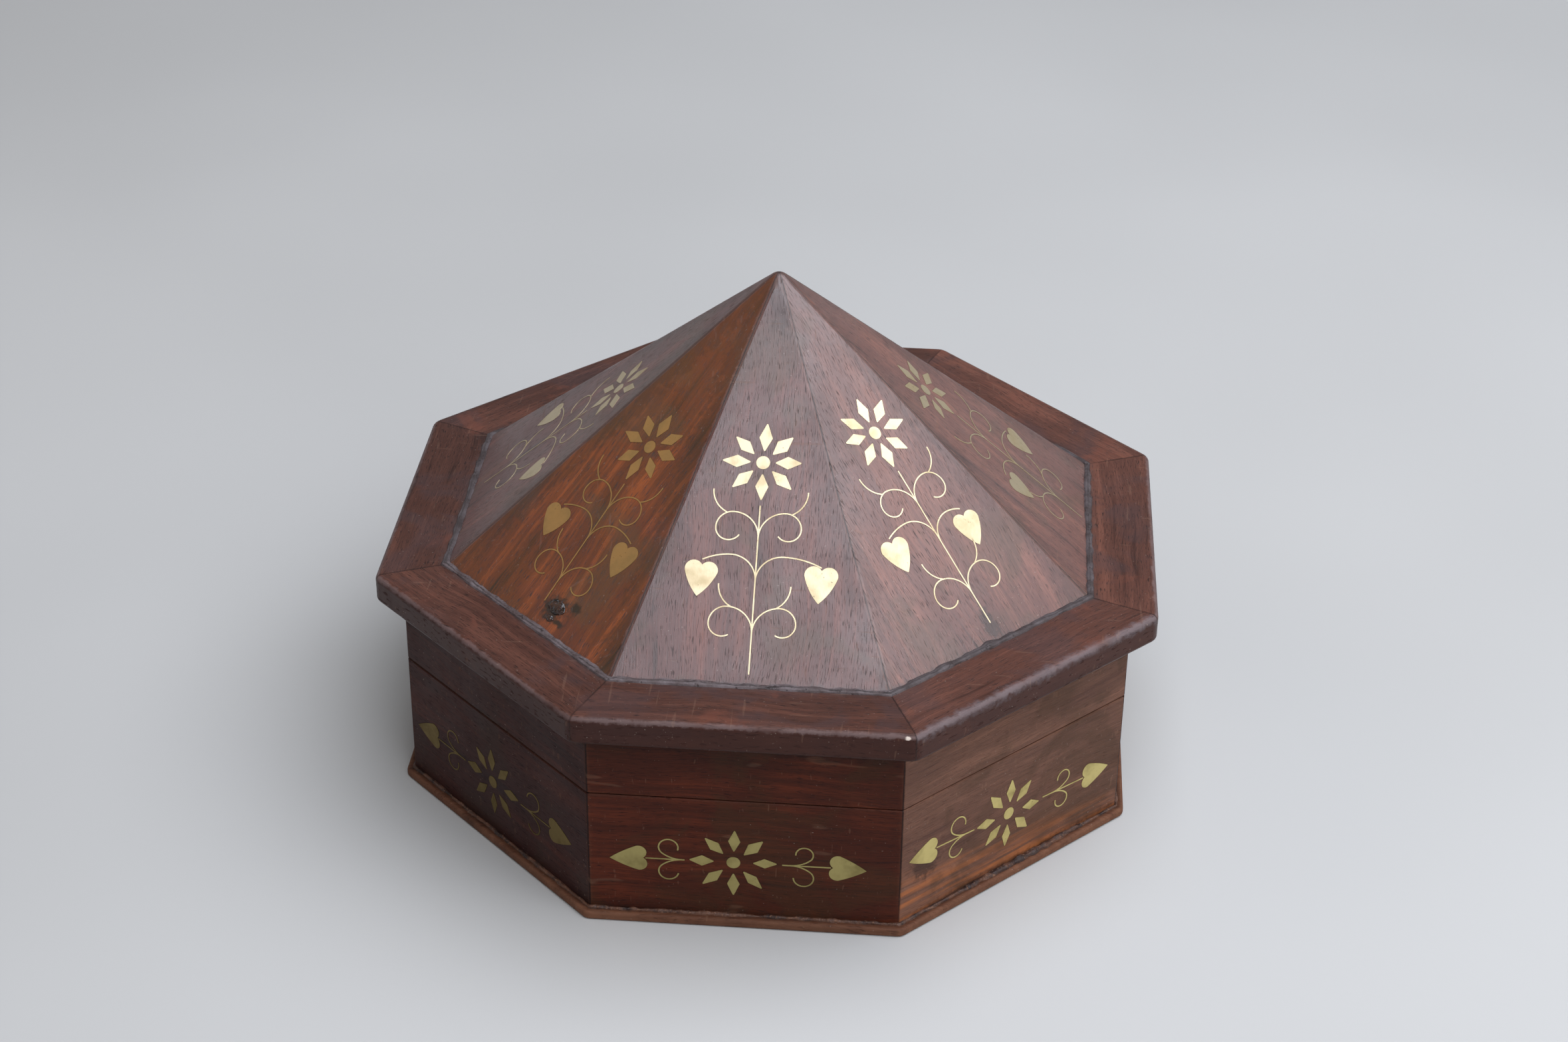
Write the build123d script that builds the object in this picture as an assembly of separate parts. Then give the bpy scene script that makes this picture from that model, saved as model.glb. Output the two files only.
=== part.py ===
"""Octagonal rosewood box with a hollow pyramid lid, brass inlay and two butt hinges.

Millimetres. +Z is up, the front wall faces -Y, and the origin is the centre of the
base board's underside. Every board is made in the front place and turned to its side.
"""

import math
import os
import random

from build123d import *

# ---------------------------------------------------------------- driving dimensions
SIDES = 8
SIDE_NAMES = (
    "front", "front_right", "right", "back_right", "back", "back_left", "left", "front_left",
)
BACK = SIDE_NAMES.index("back")

WALL_APOTHEM = 98.0  # centre to a wall's outer face
WALL_T = 7.0
BOARD_APOTHEM = 100.3  # the base board stands a little proud of the walls
BOARD_T = 2.6
SPLIT_Z = 39.2  # where the glued box was sawn into base and lid
RIM_GAP = 0.3
RING_Z = 59.4  # underside of the lid's moulding
RING_T = 8.0
RING_APOTHEM = 105.0
RING_INNER_APOTHEM = 76.0
ROOF_APOTHEM = 86.6  # outer edge of the pyramid where it meets the moulding
ROOF_APEX_Z = 142.9
ROOF_T = 6.0

MITRE_GAP = 0.015  # half of a glue line
ARRIS = 0.25  # the sawn rims' eased edges
WALL_CORNER_R = 1.2
RIDGE_EASE = 0.28
BOARD_EDGE_R = 0.9
BOARD_CORNER_R = 3.0
RING_TOP_EDGE_R = 1.7
RING_FOOT_EDGE_R = 1.1
RING_CORNER_R = 4.5
ROOF_FOOT_R = 0.2
ROOF_TIP_R = 3.0

INLAY_DEPTH = 0.8
INLAY_PROUD = 0.06
INLAY_CLEARANCE = 0.05
ROOF_WIRE_W = 0.36
WALL_WIRE_W = 0.4
WALL_MOTIF_Z = 19.7
# For each roof board, front first: its flower's place, the heights of its upper and lower
# scrolls, its stem's foot, and its left and right hearts' places beside the stem.
ROOF_MOTIFS = (
    ((-0.5, 60.1), (46.4, 20.8), (-0.3, 3.0), (-13.9, 32.2), (17.0, 32.0)),
    ((0.7, 63.7), (48.4, 21.1), (2.9, 5.2), (-14.0, 36.0), (10.8, 34.0)),
    ((1.1, 61.6), (44.9, 17.4), (3.4, 2.0), (-10.4, 29.9), (13.3, 30.2)),
    ((-0.4, 59.6), (45.7, 20.2), (0.5, 3.6), (-14.6, 31.4), (13.8, 30.6)),
    ((0.2, 61.0), (46.8, 20.8), (-0.4, 3.8), (-14.0, 32.4), (14.4, 31.8)),
    ((-0.6, 62.2), (47.6, 21.4), (0.3, 4.6), (-13.4, 32.2), (13.6, 33.4)),
    ((0.8, 57.0), (44.7, 19.6), (-2.9, 5.0), (-14.6, 31.1), (15.6, 32.2)),
    ((-0.1, 56.1), (42.3, 19.8), (1.6, 7.0), (-14.0, 30.6), (14.1, 30.5)),
)
# For each wall: its flower's place, the motif's tilt, and its left and right hearts' reach.
WALL_MOTIFS = (
    ((-2.8, 0.1), 0.2, (23.5, 25.9)),
    ((-1.8, 0.5), -3.1, (27.0, 28.9)),
    ((0.4, 0.2), 0.8, (24.8, 25.6)),
    ((-0.6, -0.3), -0.6, (25.4, 24.6)),
    ((0.8, 0.0), 0.5, (25.0, 26.0)),
    ((-1.0, 0.4), 1.2, (24.4, 25.8)),
    ((0.6, -0.4), -0.9, (25.6, 24.8)),
    ((-2.0, -0.7), -0.7, (26.2, 26.3)),
)

LINING_T = 1.8
LINING_CLEARANCE = 0.5
LINING_EDGE_R = 0.5

HINGE_X = (-23.0, 23.0)
HINGE_W = 18.0
LEAF_T = 1.2
LEAF_DEPTH = 5.2
LEAF_CLEARANCE = 0.05
BARREL_R = 1.6
BARREL_CLEARANCE = 0.3
PIN_R = 0.7
PIN_CLEARANCE = 0.05
PIN_HEAD_R = 1.05
PIN_HEAD_T = 0.45
KNUCKLE_W = 6.0
KNUCKLE_GAP = 0.3
SCREW_SPACING = 11.0
SCREW_HEAD_R = 1.3
SCREW_HEAD_T = 0.7
SCREW_R = 0.6
SCREW_L = 8.0
SCREW_TIP_L = 1.4
SCREW_CLEARANCE = 0.03
SLOT_W = 0.35
SLOT_DEPTH = 0.3

# ---------------------------------------------------------------- derived dimensions
SIDE_ANGLE = 360.0 / SIDES
HALF_ANGLE = math.radians(SIDE_ANGLE / 2)
RING_TOP = RING_Z + RING_T
LID_Z = SPLIT_Z + RIM_GAP
ROOF_SLOPE = math.atan2(ROOF_APEX_Z - RING_TOP, ROOF_APOTHEM)
ROOF_OUT = (0, -math.sin(ROOF_SLOPE), math.cos(ROOF_SLOPE))
AXIS_Y = WALL_APOTHEM + BARREL_R + BARREL_CLEARANCE
AXIS_Z = SPLIT_Z + RIM_GAP / 2
SCREW_Y = WALL_APOTHEM - LEAF_DEPTH / 2
ROOF_PLANE = Plane(origin=(0, -ROOF_APOTHEM, RING_TOP), x_dir=(1, 0, 0), z_dir=ROOF_OUT)
WALL_PLANE = Plane(origin=(0, -WALL_APOTHEM, WALL_MOTIF_Z), x_dir=(1, 0, 0), z_dir=(0, -1, 0))
FAR = 300.0


# ---------------------------------------------------------------- shared shapes
def octagon(apothem):
    """A regular octagon with a flat side towards -Y."""
    return RegularPolygon(apothem, SIDES, major_radius=False, rotation=SIDE_ANGLE / 2)


def slab(apothem, low, high):
    return extrude(Plane.XY.offset(low) * octagon(apothem), high - low)


def front_sector():
    """The eighth of all space that holds a front board, less half a glue line each side."""
    reach = FAR * math.tan(HALF_ANGLE)
    start = MITRE_GAP / math.sin(HALF_ANGLE)
    shape = Polygon((0, -start), (-reach, -FAR - start), (reach, -FAR - start), align=None)
    return extrude(Plane.XY.offset(-FAR) * shape, 2 * FAR)


def to_side(shape, side):
    """Turns a shape from the front place to the side with this number."""
    return Rot(0, 0, SIDE_ANGLE * side) * shape


# ---------------------------------------------------------------- brass motifs
# A motif is drawn in the board's own plane. Each hand-cut piece differs a little, and a
# side's number seeds the differences, so a motif and its recess always agree.
def petal(root, tip, width, grow):
    """A kite-shaped petal along +X with eased corners."""
    widest = root + 0.48 * (tip - root)
    kite = Polygon((root, 0), (widest, -width / 2), (tip, 0), (widest, width / 2), align=None)
    kite = fillet(kite.vertices(), 0.22)
    return offset(kite, grow) if grow else kite


def flower(rng, reaches, widths, grow):
    """Eight petals round a disc. reaches gives the root and tip of each kind of petal."""
    shapes = [Circle(1.8 + grow)]
    for i in range(8):
        root, tip = reaches[("side", "slant", "upright", "slant")[i % 4]]
        tip += rng.uniform(-0.45, 0.35)
        width = rng.uniform(*widths)
        turn = i * 45 + rng.uniform(-3, 3)
        shapes.append(Rot(0, 0, turn) * petal(root, tip, width, grow))
    return shapes


def heart(width, length, fullness, grow):
    """A heart with its notch at the origin and its point along -Y. fullness rounds its flanks."""
    lobe = width / 4
    with BuildSketch() as sketch:
        with BuildLine():
            top = ThreePointArc((0, 0), (-0.95 * lobe, 0.5 * lobe), (-2 * lobe, -0.8 * lobe))
            flank = ThreePointArc(top @ 1, (-fullness * lobe, -0.6 * length), (0, -length))
            mirror([top, flank], about=Plane.YZ)
        make_face()
    face = sketch.sketch
    return offset(face, grow) if grow else face


def spiral(start, heading, turns):
    """Arcs that follow on from one another. turns gives each one's radius and sweep."""
    arcs = []
    for radius, sweep in turns:
        arcs.append(JernArc(start, heading, radius, sweep))
        start, heading = arcs[-1] @ 1, arcs[-1] % 1
    return arcs


def vine(paths, width):
    """Brass strips of one width along paths that cross, as one flat shape."""
    return Sketch() + [trace(path, width) for path in paths]


def roof_motif(side, grow=0.0):
    """A stem with scrolls and two hearts under a flower: X across, Y up the slope."""
    rng = random.Random(100 + side)
    (bloom_x, bloom), (high, low), foot, *hearts = ROOF_MOTIFS[side]
    reaches = {"side": (3.0, 10.6), "slant": (3.1, 10.5), "upright": (2.9, 10.9)}
    shapes = [Pos(bloom_x, bloom) * shape for shape in flower(rng, reaches, (3.2, 3.9), grow)]
    lean = math.degrees(math.atan2(foot[0] - bloom_x, bloom - foot[1]))
    stem = Pos(*foot) * Rot(0, 0, lean)
    paths = [[Line((0, -grow), (0, bloom - foot[1] - 11.8 + grow))]]
    for across, notch in hearts:
        hand = math.copysign(1, across)
        for top, reach in ((high, 12.3), (low, 9.3)):
            rise = top - foot[1]
            radius = rng.uniform(4.0, 4.6)
            turns = ((6.8, -90), (radius, -90), (0.78 * radius, -rng.uniform(115, 150)))
            turns = [(r, hand * sweep) for r, sweep in turns]
            paths.append(spiral((0, rise - 6.8), (0, 1), turns))
            bends = ((reach - 3.8, rise - 0.2), (reach - 1.0, rise + 2.3), (reach, rise + 6.0))
            paths.append([ThreePointArc(*[(hand * x, y) for x, y in bends])])
        drop = notch - foot[1]
        turns = ((6.8, -90 * hand), ((abs(across) - 6.4) * 2.1, -27 * hand))
        paths.append(spiral((0, drop - 4.2), (0, 1), turns))
        leaf = heart(rng.uniform(8.1, 8.8), rng.uniform(8.4, 9.0), 1.28, grow)
        turn = Rot(0, 0, rng.uniform(-6, 6))
        shapes.append(stem * Pos(across, drop - 0.6) * turn * leaf)
    return shapes + [stem * vine(paths, ROOF_WIRE_W + 2 * grow)]


def wall_motif(side, grow=0.0):
    """A flower between two hearts on curled wires: X along the wall, Y up."""
    rng = random.Random(200 + side)
    centre, tilt, (left, right) = WALL_MOTIFS[side]
    reaches = {"side": (4.9, 12.0), "slant": (3.5, 11.2), "upright": (3.3, 11.0)}
    shapes = flower(rng, reaches, (2.9, 3.5), grow)
    for hand, reach in ((1, right), (-1, left)):
        paths = [[Line((hand * (12.7 - grow), 0), (hand * (reach - 0.6 + grow), 0))]]
        for up in (1, -1):
            bend = hand * up
            turns = ((8.0, 40 * bend), (rng.uniform(2.2, 2.7), rng.uniform(210, 260) * bend))
            paths.append(spiral((hand * 0.57 * reach, 0), (hand, 0), turns))
        leaf = heart(rng.uniform(7.4, 8.0), rng.uniform(8.6, 9.4), 1.12, grow)
        turn = Rot(0, 0, hand * 90 + rng.uniform(-6, 6))
        shapes += [vine(paths, WALL_WIRE_W + 2 * grow), Pos(hand * reach, 0) * turn * leaf]
    return [Pos(*centre) * Rot(0, 0, tilt) * shape for shape in shapes]


def raised(plane, shape, low, high):
    """A flat shape drawn on a plane, made solid between two heights over it."""
    return extrude(plane.offset(low) * shape, high - low)


def inlay(plane, shapes):
    solids = []
    for shape in shapes:
        solids += raised(plane, shape, -INLAY_DEPTH, INLAY_PROUD).solids()
    return Compound(children=solids)


def with_recesses(board, plane, shapes):
    for shape in shapes:
        board -= raised(plane, shape, -INLAY_DEPTH, 1.0)
    return board


# ---------------------------------------------------------------- boards
def wall_board(low, high, rim):
    """One mitred wall board between two heights. rim is 0 or -1: its sawn end, bottom or top."""
    outer = slab(WALL_APOTHEM, low, high)
    outer = fillet(outer.edges().filter_by(Axis.Z), WALL_CORNER_R)
    outer = chamfer(outer.faces().sort_by(Axis.Z)[rim].edges(), ARRIS)
    return (outer - slab(WALL_APOTHEM - WALL_T, low, high)) & front_sector()


def base_board():
    board = slab(BOARD_APOTHEM, 0, BOARD_T)
    board = fillet(board.edges().filter_by(Axis.Z), BOARD_CORNER_R)
    rims = board.faces().sort_by(Axis.Z)
    return fillet(rims[0].edges() + rims[-1].edges(), BOARD_EDGE_R)


def ring_board():
    """One mitred piece of the lid's moulding, with a rounded outer edge."""
    ring = slab(RING_APOTHEM, RING_Z, RING_TOP)
    ring = fillet(ring.edges().filter_by(Axis.Z), RING_CORNER_R)
    ring = fillet(ring.faces().sort_by(Axis.Z)[-1].edges(), RING_TOP_EDGE_R)
    ring = fillet(ring.faces().sort_by(Axis.Z)[0].edges(), RING_FOOT_EDGE_R)
    return (ring - slab(RING_INNER_APOTHEM, RING_Z, RING_TOP)) & front_sector()


def eased_roof_form():
    """A cone just inside the ridges, rounded at its point, that eases all eight as it cuts them."""
    reach = ROOF_APOTHEM / math.cos(HALF_ANGLE)
    slope = math.atan((ROOF_APEX_Z - RING_TOP) / reach)
    rise = math.tan(slope)
    point_z = RING_TOP + (reach - RIDGE_EASE) * rise
    centre_z = point_z - ROOF_TIP_R / math.cos(slope)
    turns = (0, slope / 2, slope)
    arc = [(ROOF_TIP_R * math.sin(a), centre_z + ROOF_TIP_R * math.cos(a)) for a in turns]
    foot = ((point_z - RING_Z) / rise, RING_Z)
    with BuildPart() as form:
        with BuildSketch(Plane.XZ):
            with BuildLine():
                ThreePointArc(*arc)
                Polyline(arc[2], foot, (0, RING_Z), arc[0])
            make_face()
        revolve(axis=Axis.Z)
    return form.part


def roof_board():
    """One mitred triangular roof board with a rounded foot and eased ridges."""
    profile = Plane.YZ * Polygon(
        (-ROOF_APOTHEM, RING_TOP),
        (0, ROOF_APEX_Z),
        (0, ROOF_APEX_Z - ROOF_T / math.cos(ROOF_SLOPE)),
        (-ROOF_APOTHEM + ROOF_T / math.sin(ROOF_SLOPE), RING_TOP),
        align=None,
    )
    board = extrude(profile, FAR / 2, both=True) & front_sector()
    foot = board.edges().filter_by(Axis.X).sort_by(Axis.Y)[0]
    return fillet(foot, ROOF_FOOT_R) & eased_roof_form()


def floor_lining():
    pad = slab(WALL_APOTHEM - WALL_T - LINING_CLEARANCE, BOARD_T, BOARD_T + LINING_T)
    return fillet(pad.faces().sort_by(Axis.Z)[-1].edges(), LINING_EDGE_R)


# ---------------------------------------------------------------- hinges
def barrel(radius, low, high):
    """A cylinder on the hinge axis between two places along X."""
    onwards = (Align.CENTER, Align.CENTER, Align.MIN)
    return Pos(low, AXIS_Y, AXIS_Z) * Rot(0, 90, 0) * Cylinder(radius, high - low, align=onwards)


def knuckle_spans(x, owner):
    """Where along X a leaf has its knuckles: the base leaf at both ends, the lid leaf between."""
    half, middle = HINGE_W / 2, KNUCKLE_W / 2
    if owner == "base":
        return [(x - half, x - middle - KNUCKLE_GAP), (x + middle + KNUCKLE_GAP, x + half)]
    return [(x - middle, x + middle)]


def leaf_plate(x, owner, grow=0.0):
    low = SPLIT_Z - LEAF_T if owner == "base" else LID_Z
    middle = Pos(x, SCREW_Y, low + LEAF_T / 2)
    return middle * Box(HINGE_W + 2 * grow, LEAF_DEPTH + 2 * grow, LEAF_T + 2 * grow)


def screw(grow=0.0):
    """A slotted countersunk wood screw, head up, its face at the origin."""
    below = (Align.CENTER, Align.CENTER, Align.MAX)
    shank_l = SCREW_L - SCREW_TIP_L
    head = Cone(SCREW_R + grow, SCREW_HEAD_R + grow, SCREW_HEAD_T, align=below)
    shank = Cylinder(SCREW_R + grow, shank_l, align=below)
    tip = Pos(0, 0, -shank_l) * Cone(0.1, SCREW_R + grow, SCREW_TIP_L, align=below)
    body = head + shank + tip
    if grow:
        return body
    return body - Pos(0, 0, -SLOT_DEPTH / 2) * Box(3 * SCREW_HEAD_R, SLOT_W, SLOT_DEPTH)


def at_screws(shape, x, owner):
    """The shape at each of a leaf's screws, turned over for the lid."""
    height, turn = (SPLIT_Z, 0) if owner == "base" else (LID_Z, 180)
    places = [x - SCREW_SPACING / 2, x + SCREW_SPACING / 2]
    return [Pos(px, SCREW_Y, height) * Rot(turn, 0, 3 * px) * shape for px in places]


def hinge_leaf(x, owner):
    other = "lid" if owner == "base" else "base"
    low = SPLIT_Z - LEAF_T if owner == "base" else LID_Z
    tongue_y = (WALL_APOTHEM - 1.0 + AXIS_Y) / 2
    tongue = Pos(x, tongue_y, low + LEAF_T / 2) * Box(HINGE_W, AXIS_Y - WALL_APOTHEM + 1.0, LEAF_T)
    leaf = leaf_plate(x, owner) + tongue
    room = BARREL_R + BARREL_CLEARANCE
    for start, end in knuckle_spans(x, other):
        leaf -= barrel(room, start - KNUCKLE_GAP, end + KNUCKLE_GAP)
    for start, end in knuckle_spans(x, owner):
        leaf += barrel(BARREL_R, start, end)
    leaf -= barrel(PIN_R + PIN_CLEARANCE, x - HINGE_W, x + HINGE_W)
    return leaf - at_screws(screw(SCREW_CLEARANCE), x, owner)


def hinge_pin(x):
    half = HINGE_W / 2
    pin = barrel(PIN_R, x - half, x + half)
    for start in (x - half - PIN_HEAD_T, x + half):
        pin += barrel(PIN_HEAD_R, start, start + PIN_HEAD_T)
    rims = pin.edges().filter_by(GeomType.CIRCLE).sort_by(Axis.X)
    return fillet([rims[0], rims[-1]], PIN_HEAD_T * 0.7)


def with_mortises(board, owner):
    """A back wall board with the recesses and screw holes of both hinge leaves."""
    for x in HINGE_X:
        board -= leaf_plate(x, owner, LEAF_CLEARANCE)
        board -= at_screws(screw(SCREW_CLEARANCE), x, owner)
    return board


# ---------------------------------------------------------------- assembly
def sided_nodes():
    """Every board and inlay that repeats round the box, by node name."""
    base_wall = wall_board(BOARD_T, SPLIT_Z, -1)
    lid_wall = wall_board(LID_Z, RING_Z, 0)
    ring = ring_board()
    roof = roof_board()
    nodes = {}
    for side, name in enumerate(SIDE_NAMES):
        base = with_recesses(base_wall, WALL_PLANE, wall_motif(side, INLAY_CLEARANCE))
        panel = with_recesses(roof, ROOF_PLANE, roof_motif(side, INLAY_CLEARANCE))
        base, lid = to_side(base, side), to_side(lid_wall, side)
        if side == BACK:
            base, lid = with_mortises(base, "base"), with_mortises(lid, "lid")
        nodes[f"base_wall_{name}"] = base
        nodes[f"base_inlay_{name}"] = to_side(inlay(WALL_PLANE, wall_motif(side)), side)
        nodes[f"lid_wall_{name}"] = lid
        nodes[f"lid_moulding_{name}"] = to_side(ring, side)
        nodes[f"roof_panel_{name}"] = to_side(panel, side)
        nodes[f"roof_inlay_{name}"] = to_side(inlay(ROOF_PLANE, roof_motif(side)), side)
    return nodes


def hinge_nodes():
    nodes = {}
    for hand, x in zip(("left", "right"), HINGE_X):
        nodes[f"hinge_{hand}_base_leaf"] = hinge_leaf(x, "base")
        nodes[f"hinge_{hand}_lid_leaf"] = hinge_leaf(x, "lid")
        nodes[f"hinge_{hand}_pin"] = hinge_pin(x)
    for owner in ("base", "lid"):
        screws = [turned for x in HINGE_X for turned in at_screws(screw(), x, owner)]
        nodes[f"{owner}_hinge_screws"] = Compound(children=screws)
    return nodes


def main():
    os.makedirs("parts", exist_ok=True)
    nodes = {"base_board": base_board(), "floor_lining": floor_lining()}
    nodes.update(sided_nodes())
    nodes.update(hinge_nodes())
    for name, shape in nodes.items():
        export_step(shape, f"parts/{name}.step")


main()
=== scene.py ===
import math

import bpy
from mathutils import Matrix, Vector


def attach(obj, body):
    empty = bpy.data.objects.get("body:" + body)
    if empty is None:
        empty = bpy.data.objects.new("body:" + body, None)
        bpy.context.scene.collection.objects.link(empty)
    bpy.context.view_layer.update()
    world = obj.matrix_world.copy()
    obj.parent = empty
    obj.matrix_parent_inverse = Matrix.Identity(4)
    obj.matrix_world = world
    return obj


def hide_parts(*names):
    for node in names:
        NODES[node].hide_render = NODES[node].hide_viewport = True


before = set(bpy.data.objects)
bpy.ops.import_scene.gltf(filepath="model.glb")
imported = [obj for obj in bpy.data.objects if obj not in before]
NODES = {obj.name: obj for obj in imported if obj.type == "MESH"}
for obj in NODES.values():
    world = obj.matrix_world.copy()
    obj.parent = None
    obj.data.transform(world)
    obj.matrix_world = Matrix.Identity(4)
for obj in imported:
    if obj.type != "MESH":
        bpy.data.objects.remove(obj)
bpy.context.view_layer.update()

SIDES = (
    "front", "front_right", "right", "back_right", "back", "back_left", "left", "front_left",
)
FRONT, FRONT_RIGHT, RIGHT, FRONT_LEFT = 0.0, 1.0, 2.0, 7.0  # a side's number, as SIDES has them

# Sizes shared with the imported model, in metres.
WALL_APOTHEM = 0.098
WALL_T = 0.007
BOARD_APOTHEM = 0.1003
BOARD_TOP = 0.0026
SPLIT_Z = 0.0392
RING_Z = 0.0594
RING_TOP = 0.0674
RING_APOTHEM = 0.105
ROOF_APOTHEM = 0.0866
ROOF_APEX_Z = 0.1429
ROOF_SLOPE = math.atan2(ROOF_APEX_Z - RING_TOP, ROOF_APOTHEM)
ROOF_RAW_DEPTH = (0.0020, 0.0028)  # from here down a board's own bare wood shows
WALL_RAW_DEPTH = (0.0035, 0.0045)
HALF_SIDE = math.radians(22.5)
CORNER_RATIO = math.tan(HALF_SIDE)

# Marks on single boards: (along the board, up it) and (half the width, half the height).
STEM_STAIN = ((0.0026, 0.0052), (0.0026, 0.0058))
KNOT_MARKS = (
    ((0.0062, 0.0068), (0.0052, 0.0040)),
    ((0.0125, 0.0098), (0.0022, 0.0018)),
    ((0.0105, 0.0040), (0.0026, 0.0012)),
)
TIP_STAIN = ((0.0015, 0.1035), (0.0035, 0.0085))
HEART_STAIN = ((-0.0322, 0.0188), (0.0052, 0.0062))
RIM_CHIP = ((0.0412, RING_TOP - 0.0008), (0.0008, 0.00045))

# Resin beads in the knot: name, (along, up) on the board, radius, and stretch.
RESIN_BEADS = (
    ("resin_knot", (0.0066, 0.0074), 0.0024, (1.35, 0.80, 0.24)),
    ("resin_drop", (0.0066, 0.0040), 0.0012, (1.3, 0.8, 0.35)),
)

# Filler and glue, all round and along one foot.
FILLER_R = 0.00125
FILLER_FLATNESS = 0.55
GLUE_R = 0.00062
CRUST_R = 0.0010
CRUST_L = 0.058
CRUST_ALONG = 0.003
CRUST_CUTS = 90
BEAD_OUT = 0.0002  # how far a bead's middle stands out from the corner that it fills
BEAD_CUTS = 96

LINING_APOTHEM = WALL_APOTHEM - WALL_T - 0.0006
LINING_T = 0.0014
LINING_LOW = BOARD_TOP + 0.0001

# Where the camera stands, seen from the point it looks at.
CAMERA_AIM = Vector((0.00234, -0.00289, 0.0665))
CAMERA_AZIMUTH = math.radians(4.13)
CAMERA_ELEVATION = math.radians(30.90)
CAMERA_ROLL = math.radians(0.736)
CAMERA_DISTANCE = 0.7938
CAMERA_LENS = 65.33


# ------------------------------------------------------------------ node building
class Nodes:
    """Adds nodes to one tree and joins them, so that a pattern reads as a sum."""

    def __init__(self, tree):
        self.tree = tree

    def add(self, kind, inputs=None, **settings):
        node = self.tree.nodes.new(kind)
        for name, value in settings.items():
            setattr(node, name, value)
        for key, value in (inputs or {}).items():
            if isinstance(value, bpy.types.NodeSocket):
                self.tree.links.new(value, node.inputs[key])
            else:
                node.inputs[key].default_value = value
        return node

    def math(self, operation, *values, clamp=False):
        inputs = dict(enumerate(values))
        return self.add("ShaderNodeMath", inputs, operation=operation, use_clamp=clamp).outputs[0]

    def vector(self, x, y, z):
        return self.add("ShaderNodeCombineXYZ", {0: x, 1: y, 2: z}).outputs[0]

    def split(self, vector):
        return self.add("ShaderNodeSeparateXYZ", {0: vector}).outputs

    def scaled(self, vector, x, y, z):
        inputs = {0: vector, 1: (x, y, z)}
        return self.add("ShaderNodeVectorMath", inputs, operation="MULTIPLY").outputs[0]

    def noise(self, vector, scale, detail=3.0, roughness=0.55, distortion=0.0):
        inputs = {
            "Vector": vector, "Scale": scale, "Detail": detail, "Roughness": roughness,
            "Distortion": distortion,
        }
        return self.add("ShaderNodeTexNoise", inputs).outputs["Fac"]

    def remap(self, value, low, high, to_low=0.0, to_high=1.0, smooth=True):
        kind = "SMOOTHSTEP" if smooth else "LINEAR"
        inputs = {
            "Value": value, "From Min": low, "From Max": high, "To Min": to_low, "To Max": to_high,
        }
        return self.add("ShaderNodeMapRange", inputs, interpolation_type=kind).outputs["Result"]

    def blend(self, fac, under, over, mode="MIX"):
        inputs = {0: fac, 6: under, 7: over}  # 6 and 7 are the mix node's two colours
        return self.add("ShaderNodeMix", inputs, data_type="RGBA", blend_type=mode).outputs[2]

    def shaded(self, colour, tone):
        """A colour made darker or lighter by a value that changes over the surface."""
        return self.blend(1.0, colour, self.vector(tone, tone, tone), "MULTIPLY")

    def use(self, tree, inputs):
        return self.add("ShaderNodeGroup", inputs, node_tree=tree).outputs


def rgb(red, green, blue):
    return (red, green, blue, 1.0)


SOCKETS = {"vector": "NodeSocketVector", "value": "NodeSocketFloat", "colour": "NodeSocketColor"}


def node_group(name, inputs, outputs):
    """A shader node group with these named sockets, ready to be filled."""
    tree = bpy.data.node_groups.new(name, "ShaderNodeTree")
    for socket, kind in inputs:
        tree.interface.new_socket(socket, in_out="INPUT", socket_type=SOCKETS[kind])
    for socket, kind in outputs:
        tree.interface.new_socket(socket, in_out="OUTPUT", socket_type=SOCKETS[kind])
    nodes = Nodes(tree)
    return tree, nodes, nodes.add("NodeGroupInput").outputs, nodes.add("NodeGroupOutput")


# ------------------------------------------------------------------ shared effects
def make_board_place():
    """Which of the eight sides a point is on, and where it is along and out from it."""
    outputs = (("Along", "value"), ("Out", "value"), ("Up", "value"), ("Side", "value"))
    tree, n, given, out = node_group("board_place", (("Vector", "vector"),), outputs)
    x, y, z = n.split(given["Vector"])
    turn = n.math("ADD", n.math("ARCTAN2", y, x), math.pi / 2)
    whole = n.math("ROUND", n.math("DIVIDE", turn, math.pi / 4))
    side = n.math("FLOORED_MODULO", whole, 8.0)
    angle = n.math("MULTIPLY_ADD", side, math.pi / 4, -math.pi / 2)
    cosine, sine = n.math("COSINE", angle), n.math("SINE", angle)
    distance = n.math("MULTIPLY_ADD", x, cosine, n.math("MULTIPLY", y, sine))
    along = n.math("SUBTRACT", n.math("MULTIPLY", y, cosine), n.math("MULTIPLY", x, sine))
    for socket, value in (("Along", along), ("Out", distance), ("Up", z), ("Side", side)):
        tree.links.new(value, out.inputs[socket])
    return tree


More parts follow.
